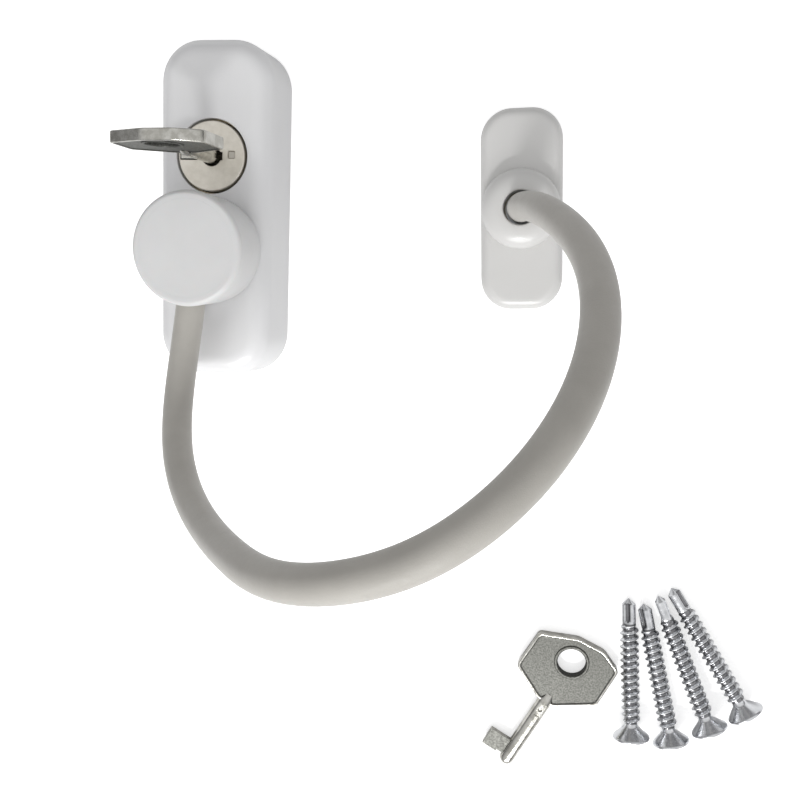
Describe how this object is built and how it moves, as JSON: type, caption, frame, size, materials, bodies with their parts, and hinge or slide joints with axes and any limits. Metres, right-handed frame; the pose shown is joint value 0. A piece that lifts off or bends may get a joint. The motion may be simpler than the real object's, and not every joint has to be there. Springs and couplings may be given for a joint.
{
  "type": "window restrictor cable",
  "caption": "Key-locked cable restrictor for a window: lock body, plug with knob, sheathed steel cable, swivelling anchor plate, spare key and fixing screws.",
  "frame": {"origin": "centre of the lock's back face", "axes": "+Z out of the lock's front, +Y along the lock towards the key cylinder, +X towards the anchor"},
  "size_m": [0.1324, 0.1569, 0.0932],
  "materials": {
    "white_coat": "gloss white coat",
    "white_plastic": "moulded white plastic",
    "white_sheath": "soft matt white sheath",
    "grey_plastic": "moulded grey plastic",
    "nickel": "satin nickel",
    "key_nickel": "die-cast nickel",
    "zinc_plate": "zinc-plated steel",
    "bright_zinc": "bright zinc",
    "brass": "turned brass",
    "steel_rope": "twisted steel rope"
  },
  "bodies": {
    "lock": {"lock_base_plate": "zinc_plate", "lock_housing": "white_coat", "latch_guide": "grey_plastic", "cylinder_barrel": "brass", "pin_socket": "zinc_plate"},
    "cylinder": {"cylinder_plug": "nickel", "drive_cam": "zinc_plate", "cylinder_circlip": "zinc_plate"},
    "latch": {"latch_plate": "zinc_plate"},
    "key": {"key": "key_nickel"},
    "plug": {"plug_pin": "zinc_plate", "pin_washer": "nickel"},
    "cable": {"knob_shell": "white_plastic", "knob_lid": "white_plastic", "knob_crimp": "zinc_plate", "cable_sheath": "white_sheath", "cable_core": "steel_rope", "anchor_ferrule": "zinc_plate"},
    "anchor": {"anchor_base_plate": "zinc_plate", "anchor_cover": "white_coat", "swivel_washer": "brass"},
    "spare_key": {"spare_key": "key_nickel"},
    "screw_1": {"screw_1": "bright_zinc"},
    "screw_2": {"screw_2": "bright_zinc"},
    "screw_3": {"screw_3": "bright_zinc"},
    "screw_4": {"screw_4": "bright_zinc"}
  },
  "joints": [
    {"name": "cylinder_turn", "type": "hinge", "parent": "lock", "child": "cylinder", "pos_m": [0, 0.0107, 0.015], "axis": [0, 0, 1], "range_deg": [0, 90]},
    {"name": "latch_slide", "type": "slide", "parent": "lock", "child": "latch", "axis": [0, 1, 0], "range_m": [0, 0.00424]},
    {"name": "key_pull", "type": "slide", "parent": "cylinder", "child": "key", "axis": [0, 0, 1], "range_m": [0, 0.03]},
    {"name": "plug_pull", "type": "slide", "parent": "lock", "child": "plug", "axis": [0, 0, 1], "range_m": [0, 0.03]},
    {"name": "knob_turn", "type": "hinge", "parent": "plug", "child": "cable", "pos_m": [0, -0.0085, 0.022], "axis": [0, 0, 1], "range_deg": [-90, 40]},
    {"name": "anchor_turn", "type": "hinge", "parent": "cable", "child": "anchor", "pos_m": [0.0634, 0.0022, 0.004], "axis": [0, 0, 1], "continuous": true},
    {"name": "spare_key_lift", "type": "slide", "parent": "lock", "child": "spare_key", "axis": [0, 0, 1], "range_m": [0, 0.04]},
    {"name": "screw_1_lift", "type": "slide", "parent": "lock", "child": "screw_1", "axis": [0, 0, 1], "range_m": [0, 0.04]},
    {"name": "screw_2_lift", "type": "slide", "parent": "lock", "child": "screw_2", "axis": [0, 0, 1], "range_m": [0, 0.04]},
    {"name": "screw_3_lift", "type": "slide", "parent": "lock", "child": "screw_3", "axis": [0, 0, 1], "range_m": [0, 0.04]},
    {"name": "screw_4_lift", "type": "slide", "parent": "lock", "child": "screw_4", "axis": [0, 0, 1], "range_m": [0, 0.04]}
  ],
  "couplings": [
    {"joint": "cylinder_turn", "follows": "latch_slide", "rad_per_m": 370}
  ]
}
